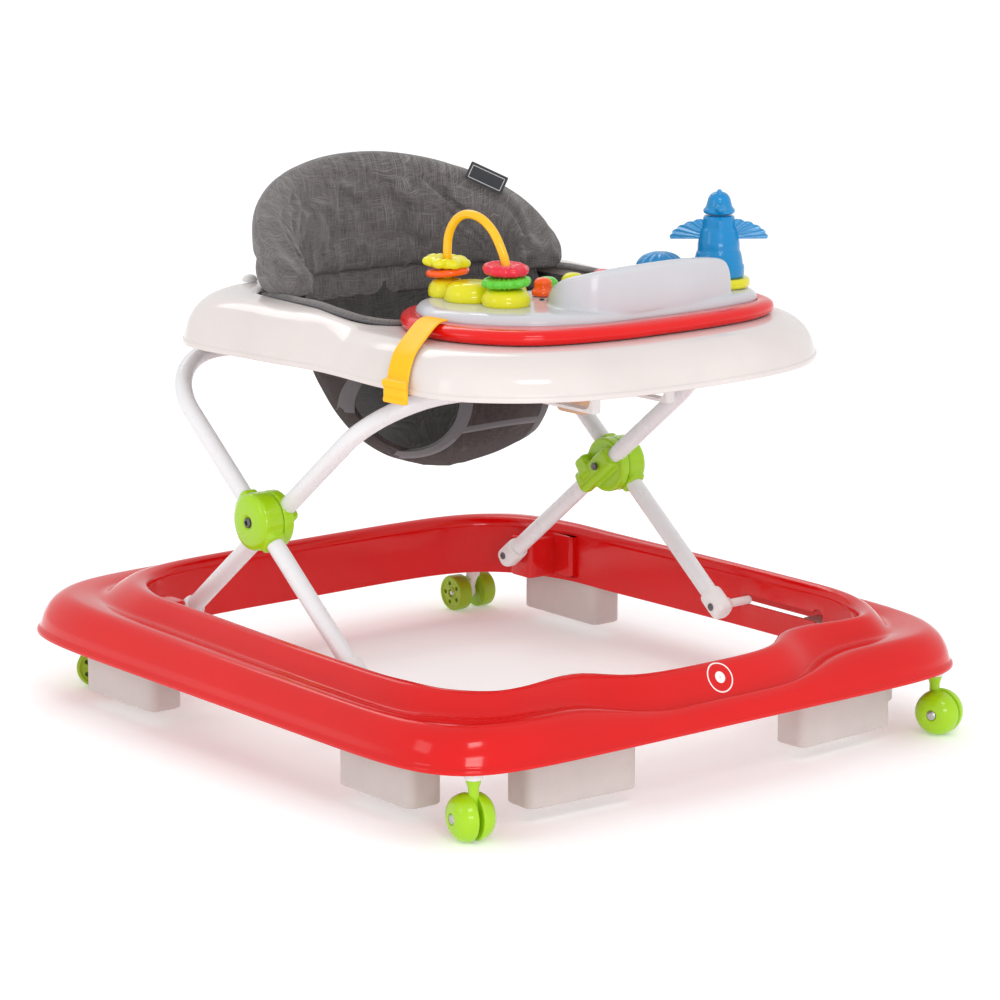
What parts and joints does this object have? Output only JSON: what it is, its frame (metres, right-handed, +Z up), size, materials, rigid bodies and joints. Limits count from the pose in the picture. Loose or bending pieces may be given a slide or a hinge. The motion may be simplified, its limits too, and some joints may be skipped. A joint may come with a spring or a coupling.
{
  "type": "baby walker",
  "caption": "Round-ring baby walker: padded seat and play tray on a cross-leg frame that lowers over a wide wheeled base with brake blocks.",
  "frame": {"origin": "on the floor, under the centre of the base", "axes": "+Z up, -Y to the front where the play tray is, +X to the child's left"},
  "size_m": [0.62, 0.686, 0.498],
  "materials": {
    "red_shell": "glossy",
    "stone_block": "matte",
    "lime": "glossy",
    "steel": "satin",
    "white_part": "satin",
    "olive_lime": "satin",
    "white_tube": "satin",
    "beige": "satin",
    "white_shell": "glossy",
    "grey_fabric": "woven",
    "tray_red": "glossy",
    "console_grey": "glossy",
    "clover_yellow": "glossy",
    "arch_yellow": "glossy",
    "strap_yellow": "satin",
    "orange": "glossy",
    "toy_red": "glossy",
    "toy_green": "glossy",
    "toy_blue": "glossy"
  },
  "bodies": {
    "base": {"base_shell": "red_shell", "brake_block_front_left": "stone_block", "brake_block_front_right": "stone_block", "brake_block_side_front_left": "stone_block", "brake_block_side_front_right": "stone_block", "brake_block_side_rear_left": "stone_block", "brake_block_side_rear_right": "stone_block"},
    "front_swivel_left": {"front_caster_stem_left": "lime"},
    "front_roll_left": {"front_wheel_left": "lime", "front_axle_left": "steel"},
    "front_swivel_right": {"front_caster_stem_right": "lime"},
    "front_roll_right": {"front_wheel_right": "lime", "front_axle_right": "steel"},
    "rear_swivel_left": {"rear_caster_fork_left": "white_part"},
    "rear_roll_left": {"rear_wheel_left": "olive_lime", "rear_axle_left": "steel"},
    "rear_swivel_right": {"rear_caster_fork_right": "white_part"},
    "rear_roll_right": {"rear_wheel_right": "olive_lime", "rear_axle_right": "steel"},
    "leg_b": {"leg_frame_b": "white_tube", "leg_b_foot_left": "white_part", "leg_b_foot_right": "white_part", "inner_knuckle_left": "white_part", "inner_knuckle_right": "white_part"},
    "latch": {"height_latch": "beige"},
    "leg_a": {"leg_frame_a": "white_tube", "leg_a_foot_left": "white_part", "leg_a_foot_right": "white_part", "outer_knuckle_left": "white_part", "outer_knuckle_right": "white_part", "cross_bolt_left": "steel", "cross_bolt_right": "steel"},
    "ring": {"ring_shell": "white_shell", "rear_clamp_left": "white_part", "rear_clamp_right": "white_part", "front_rail_left": "white_part", "front_rail_right": "white_part", "seat_plug_left": "white_part", "seat_plug_right": "white_part", "backrest": "grey_fabric", "seat_sling": "grey_fabric"},
    "tray": {"tray_rim": "tray_red", "console": "console_grey", "clover_base": "clover_yellow", "arch": "arch_yellow", "bird_base": "clover_yellow"},
    "tray_clip_left": {"tray_clip_left": "strap_yellow"},
    "tray_clip_right": {"tray_clip_right": "strap_yellow"},
    "bead_flower": {"bead_flower": "clover_yellow"},
    "bead_orange": {"bead_orange": "orange"},
    "bead_red": {"bead_red": "toy_red"},
    "bead_green": {"bead_green": "toy_green"},
    "button_green": {"button_green": "toy_green"},
    "button_yellow": {"button_yellow": "clover_yellow"},
    "button_red": {"button_red": "toy_red"},
    "knob_orange": {"knob_orange": "orange"},
    "dial_blue": {"dial_blue": "toy_blue"},
    "bird_body": {"bird_body": "toy_blue"},
    "bird_head": {"bird_head": "toy_blue"}
  },
  "joints": [
    {"name": "front_swivel_left_turn", "type": "hinge", "parent": "base", "child": "front_swivel_left", "pos_m": [-0.263, -0.315, 0.045], "axis": [0, 0, 1], "continuous": true},
    {"name": "front_roll_left_turn", "type": "hinge", "parent": "front_swivel_left", "child": "front_roll_left", "pos_m": [-0.26213, -0.31008, 0.0205], "axis": [0.9848, -0.1736, 0], "continuous": true},
    {"name": "front_swivel_right_turn", "type": "hinge", "parent": "base", "child": "front_swivel_right", "pos_m": [0.263, -0.315, 0.045], "axis": [0, 0, 1], "continuous": true},
    {"name": "front_roll_right_turn", "type": "hinge", "parent": "front_swivel_right", "child": "front_roll_right", "pos_m": [0.26471, -0.3197, 0.0205], "axis": [-0.9397, -0.342, 0], "continuous": true},
    {"name": "rear_swivel_left_turn", "type": "hinge", "parent": "base", "child": "rear_swivel_left", "pos_m": [-0.231, 0.311, 0.045], "axis": [0, 0, 1], "continuous": true},
    {"name": "rear_roll_left_turn", "type": "hinge", "parent": "rear_swivel_left", "child": "rear_roll_left", "pos_m": [-0.2247, 0.30607, 0.018], "axis": [-0.6157, -0.788, 0], "continuous": true},
    {"name": "rear_swivel_right_turn", "type": "hinge", "parent": "base", "child": "rear_swivel_right", "pos_m": [0.231, 0.311, 0.045], "axis": [0, 0, 1], "continuous": true},
    {"name": "rear_roll_right_turn", "type": "hinge", "parent": "rear_swivel_right", "child": "rear_roll_right", "pos_m": [0.231, 0.319, 0.018], "axis": [1, 0, 0], "continuous": true},
    {"name": "fold", "type": "hinge", "parent": "base", "child": "leg_b", "pos_m": [0, 0.201, 0.082], "axis": [1, 0, 0], "range_deg": [0, 32.4]},
    {"name": "cross_pivot", "type": "hinge", "parent": "leg_b", "child": "leg_a", "pos_m": [0, 0.05739, 0.19542], "axis": [1, 0, 0], "range_deg": [-64.8, 0]},
    {"name": "ring_pivot", "type": "hinge", "parent": "leg_a", "child": "ring", "pos_m": [0, 0.21748, 0.32186], "axis": [1, 0, 0], "range_deg": [0, 32.4]},
    {"name": "latch_squeeze", "type": "hinge", "parent": "leg_b", "child": "latch", "pos_m": [0, -0.10271, 0.32186], "axis": [-1, 0, 0], "range_deg": [0, 15], "stiffness_Nm_per_rad": 0.5, "springref_deg": -8.59},
    {"name": "tray_lift", "type": "slide", "parent": "ring", "child": "tray", "axis": [0, 0, 1], "range_m": [0, 0.12]},
    {"name": "clip_open_left", "type": "hinge", "parent": "tray", "child": "tray_clip_left", "pos_m": [-0.15098, -0.12527, 0.3951], "axis": [-0.08, 0.9968, 0], "range_deg": [0, 70]},
    {"name": "clip_open_right", "type": "hinge", "parent": "tray", "child": "tray_clip_right", "pos_m": [0.16785, -0.13261, 0.3953], "axis": [-0.08, -0.9968, 0], "range_deg": [0, 70]},
    {"name": "bead_flower_slide", "type": "slide", "parent": "tray", "child": "bead_flower", "axis": [0, 0, 1], "range_m": [0, 0.009]},
    {"name": "bead_orange_spin", "type": "hinge", "parent": "tray", "child": "bead_orange", "pos_m": [-0.088, -0.058, 0.42], "axis": [0, 0, 1], "continuous": true},
    {"name": "bead_red_spin", "type": "hinge", "parent": "tray", "child": "bead_red", "pos_m": [-0.082, -0.132, 0.42], "axis": [0, 0, 1], "continuous": true},
    {"name": "bead_green_spin", "type": "hinge", "parent": "tray", "child": "bead_green", "pos_m": [-0.082, -0.132, 0.42], "axis": [0, 0, 1], "continuous": true},
    {"name": "button_green_press", "type": "slide", "parent": "tray", "child": "button_green", "axis": [0, 0, -1], "range_m": [0, 0.003], "stiffness_N_per_m": 400, "springref_m": -0.001},
    {"name": "button_yellow_press", "type": "slide", "parent": "tray", "child": "button_yellow", "axis": [0, 0, -1], "range_m": [0, 0.003], "stiffness_N_per_m": 400, "springref_m": -0.001},
    {"name": "button_red_press", "type": "slide", "parent": "tray", "child": "button_red", "axis": [0, 0, -1], "range_m": [0, 0.003], "stiffness_N_per_m": 400, "springref_m": -0.001},
    {"name": "knob_orange_spin", "type": "hinge", "parent": "tray", "child": "knob_orange", "pos_m": [-0.025, -0.112, 0.41], "axis": [0, 0, 1], "continuous": true},
    {"name": "dial_blue_spin", "type": "hinge", "parent": "tray", "child": "dial_blue", "pos_m": [0.112, -0.11, 0.41], "axis": [0, 0, 1], "continuous": true},
    {"name": "bird_body_spin", "type": "hinge", "parent": "tray", "child": "bird_body", "pos_m": [0.132, -0.165, 0.41], "axis": [0, 0, 1], "continuous": true},
    {"name": "bird_head_turn", "type": "hinge", "parent": "bird_body", "child": "bird_head", "pos_m": [0.132, -0.165, 0.465], "axis": [0, 0, 1], "range_deg": [-60, 60]}
  ],
  "couplings": [
    {"joint": "cross_pivot", "follows": "fold", "ratio": -2},
    {"joint": "ring_pivot", "follows": "fold", "ratio": 1}
  ]
}
